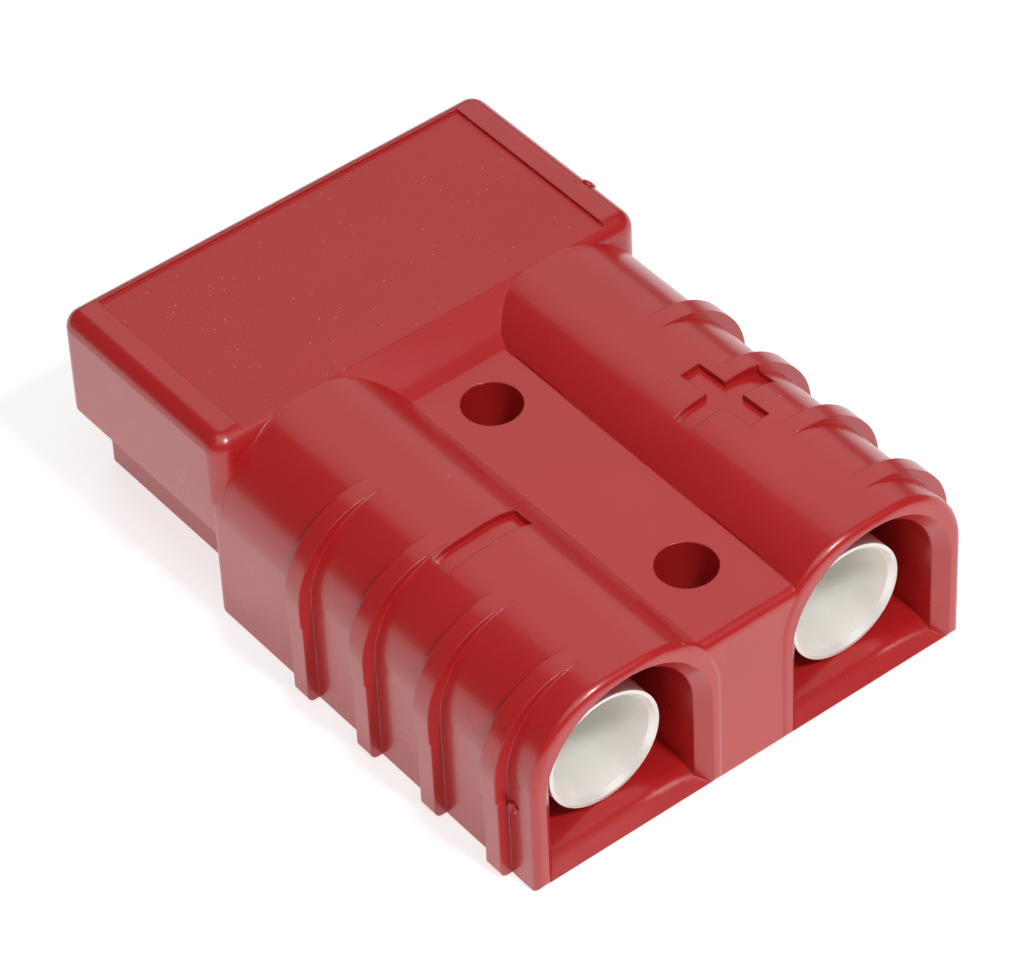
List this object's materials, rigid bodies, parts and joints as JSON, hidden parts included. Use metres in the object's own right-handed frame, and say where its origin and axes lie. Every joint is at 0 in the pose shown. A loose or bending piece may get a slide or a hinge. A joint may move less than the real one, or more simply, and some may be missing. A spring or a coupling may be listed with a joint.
{
  "type": "genderless power connector",
  "caption": "Genderless power connector: ribbed moulded housing holding crimp contacts on leaf springs, with a bare label panel and a drilled mounting web.",
  "frame": {"origin": "middle of the flat underside of the bounding box, on the plane that the connector rests on", "axes": "+Y to the mating end, +Z to the label side, +X from the negative pole to the positive pole"},
  "size_m": [0.059, 0.079, 0.024],
  "materials": {
    "housing_plastic": "glossy red moulding",
    "silver_plate": "satin silver plate over copper",
    "spring_steel": "satin stainless steel"
  },
  "bodies": {
    "root": {"housing": "housing_plastic", "contact_negative": "silver_plate", "contact_positive": "silver_plate", "spring_negative": "spring_steel", "spring_positive": "spring_steel"}
  },
  "joints": []
}
